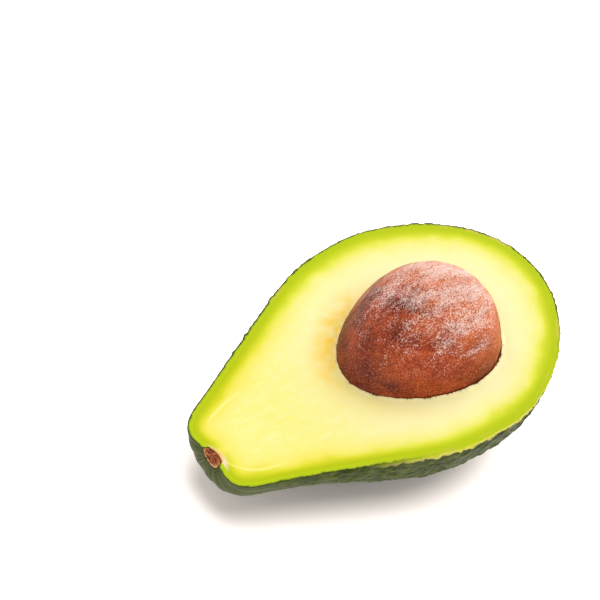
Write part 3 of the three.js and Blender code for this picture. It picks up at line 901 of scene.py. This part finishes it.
def seed_material():
    """A ripe avocado seed's coat: thin, dry and tannin brown, darkest where it is damp at the neck side,
    with painted shade there away from the light, orange at the flesh with painted shade at that contact,
    painted lighter on the lit side, and a granular white bloom on top that is partly a painted sheen."""
    material, tree = new_material("avocado_seed_coat")
    place = add(tree, "ShaderNodeTexCoord", out="Object")
    # Directions from the seed's middle on the fruit's own axis, 1 long at the coat
    own_axis = {"Location": in_frame(SEED_AT), "Rotation": (0.0, -PITCH, 0.0)}
    measured = {"Vector": place, "Scale": (SEED_RADIUS * MM,) * 3, **own_axis}
    local = add(tree, "ShaderNodeMapping", measured, vector_type="TEXTURE")
    drawn = add(tree, "ShaderNodeMapping", {"Vector": place, **COAT_DRAWN})
    streaky = {"Vector": drawn, "Scale": 1 / (4.5 * MM), "Detail": 6.0, "Roughness": 0.6}
    clouds = add(tree, "ShaderNodeTexNoise", streaky)
    coat = add(tree, "ShaderNodeValToRGB", {0: clouds}, stops=COAT_BROWNS)
    wander = uneven(tree, place, 9 * MM, 3.0, -0.35, 0.35)
    # Tints by side: purplish colour and painted shade at the neck, damp orange and painted shade at the
    # flesh, painted light on the lit side
    for side, start, full, most, tint in COAT_TINTS_AND_PAINTED_SHADING:
        facing = add(tree, "ShaderNodeVectorMath", {0: local, 1: side}, "Value", operation="DOT_PRODUCT")
        ragged = add(tree, "ShaderNodeMath", {0: facing, 1: wander}, operation="ADD")
        coat = cover(tree, coat, tint, ragged, start, full, most, **SMOOTH)
    # Grain of the coat, a third of a millimetre, light and dark
    dry_grain = {"Vector": place, "Scale": 1 / (0.36 * MM), "Detail": 3.0, "Roughness": 0.7}
    grains = add(tree, "ShaderNodeTexNoise", dry_grain)
    coat = cover(tree, coat, GRAIN_LIGHT, grains, 0.5, 0.75, 0.45)
    coat = cover(tree, coat, GRAIN_DARK, grains, 0.5, 0.33, 0.55)
    # Hair-fine dark veins in the coat, drawn out from end to end
    fine_streaks = {"Vector": drawn, "Scale": 1 / (0.8 * MM), "Detail": 4.0, "Roughness": 0.7}
    hairs = add(tree, "ShaderNodeTexNoise", fine_streaks)
    coat = cover(tree, coat, HAIR_BROWN, hairs, 0.46, 0.32, 0.55)
    # White bloom over the top, partly dried bloom and partly a painted sheen where the light falls, broken
    # into streaks and grains
    upward = add(tree, "ShaderNodeVectorMath", {0: local, 1: BLOOM_AND_SHEEN_SIDE}, "Value", operation="DOT_PRODUCT")
    streak = uneven(tree, drawn, 3.2 * MM, 5.0, -0.5, 0.5, rough=0.65)
    grain = add(tree, "ShaderNodeMapRange", {"Value": grains, 1: 0.3, 2: 0.7, 3: -0.65, 4: 0.65})
    broken = add(tree, "ShaderNodeMath", {0: streak, 1: grain}, operation="ADD")
    bloom_and_sheen_reach = add(tree, "ShaderNodeMath", {0: upward, 1: broken}, operation="ADD")
    bloom_and_sheen = add(tree, "ShaderNodeMapRange", {"Value": bloom_and_sheen_reach, 1: 0.62, 2: 1.5, 4: 0.75}, **SMOOTH)
    colour = add(tree, "ShaderNodeMix", {0: bloom_and_sheen, 6: coat, 7: linear(BLOOM_AND_SHEEN_WHITE)}, **COLOURS)
    roughness = add(tree, "ShaderNodeMapRange", {"Value": bloom_and_sheen, 3: 0.42, 4: 0.65})
    papery = {"Base Color": colour, "Roughness": roughness, "IOR": 1.45, "Specular IOR Level": 0.16}
    finish_material(tree, papery, grains, strength=0.4, depth=0.05)
    return material


seed = seed_body()
shape(seed, seed_shape_tree(seed_sizes, seed_material()), seed_sizes)
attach(seed, "root")
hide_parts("seed")

# Coat crumbs: flakes of the seed's coat that the knife tore off as it went round the seed. They
# stick to the wet flesh along the hollow's rim, in clusters.
CRUMB_COUNT = 900
crumb_sizes = {"Crumb size": 0.16}
CRUMB_SEED = 7
CRUMB_SPREAD = Vector((0.15, 0.15, 0.1)) * MM
CRUMB_DENT = 1.8
RIM_POINTS = 720
RIM_OFFSET = 0.12

CRUMB_BROWNS = ((0.35, "#32160a"), (0.5, "#6a3414"), (0.65, "#a06a2c"))


def rim_line():
    """The hollow's rim just above the cut face, as a closed line of points."""
    level = rays_round(RIM_POINTS)[1]
    reach = seed_reach(np.array((0, 0, -SEED_AT[2])), level, RIM_OFFSET)
    points = np.array((SEED_AT[0], SEED_AT[1], RIM_OFFSET)) + level * reach[:, None]
    mesh = bpy.data.meshes.new("coat_crumbs")
    mesh.from_pydata(in_frame(points), [(i, (i + 1) % RIM_POINTS) for i in range(RIM_POINTS)], [])
    return add_object("coat_crumbs", mesh)


def crumbs_shape_tree(sizes, material):
    """Small ragged lumps set at random along the rim line, in clusters."""
    tree, given = new_shape_tree("crumbs_on_rim", sizes)
    curve = add(tree, "GeometryNodeMeshToCurve", {0: given["Geometry"]})
    spots = add(tree, "GeometryNodeCurveToPoints", {0: curve, "Count": CRUMB_COUNT}, mode="COUNT")
    place = add(tree, "GeometryNodeInputPosition")
    chance = uneven(tree, place, 5 * MM, 3.0, 0.05, 0.9, (0.4, 0.6))
    lot = add(tree, "FunctionNodeRandomValue", {"Seed": CRUMB_SEED}, 1, data_type="FLOAT")
    skipped = add(tree, "FunctionNodeCompare", {0: lot, 1: chance}, operation="GREATER_THAN")
    kept = add(tree, "GeometryNodeDeleteGeometry", {0: spots, 1: skipped})
    strewn = {0: -CRUMB_SPREAD, 1: CRUMB_SPREAD, "Seed": CRUMB_SEED + 1}
    jitter = add(tree, "FunctionNodeRandomValue", strewn, data_type="FLOAT_VECTOR")
    scattered = add(tree, "GeometryNodeSetPosition", {"Geometry": kept, "Offset": jitter})
    ball = add(tree, "GeometryNodeMeshIcoSphere", {0: 1.0, 1: 2})
    dents = add(tree, "ShaderNodeTexNoise", {"Vector": place, "Scale": 1.7, "Detail": 2.0}, "Color")
    dent = add(tree, "ShaderNodeVectorMath", {0: dents, 1: (0.5,) * 3}, operation="SUBTRACT")
    push = add(tree, "ShaderNodeVectorMath", {0: dent, "Scale": CRUMB_DENT}, operation="SCALE")
    lump = add(tree, "GeometryNodeSetPosition", {"Geometry": ball, "Offset": push})
    any_way = {0: (0.0,) * 3, 1: (6.3,) * 3, "Seed": CRUMB_SEED + 2}
    turn = add(tree, "FunctionNodeRandomValue", any_way, data_type="FLOAT_VECTOR")
    any_size = {2: 0.25, 3: 1.0, "Seed": CRUMB_SEED + 3}
    share = add(tree, "FunctionNodeRandomValue", any_size, 1, data_type="FLOAT")
    size = add(tree, "ShaderNodeMath", {0: share, 1: given["Crumb size"]}, operation="MULTIPLY")
    size_m = add(tree, "ShaderNodeMath", {0: size, 1: MM}, operation="MULTIPLY")
    placed = {"Points": scattered, "Instance": lump, "Rotation": turn, "Scale": size_m}
    finish_shape(tree, add(tree, "GeometryNodeInstanceOnPoints", placed), material)
    return tree


def crumb_material():
    """Torn seed coat, dry and dark brown with orange edges."""
    material, tree = new_material("torn_seed_coat")
    place = add(tree, "ShaderNodeTexCoord", out="Object")
    mottle = add(tree, "ShaderNodeTexNoise", {"Vector": place, "Scale": 1 / (0.5 * MM), "Detail": 3.0})
    brown = add(tree, "ShaderNodeValToRGB", {0: mottle}, stops=CRUMB_BROWNS)
    finish_material(tree, {"Base Color": brown, "Roughness": 0.75, "IOR": 1.45, "Specular IOR Level": 0.2})
    return material


crumbs = rim_line()
shape(crumbs, crumbs_shape_tree(crumb_sizes, crumb_material()), crumb_sizes)
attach(crumbs, "root")
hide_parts("seed")
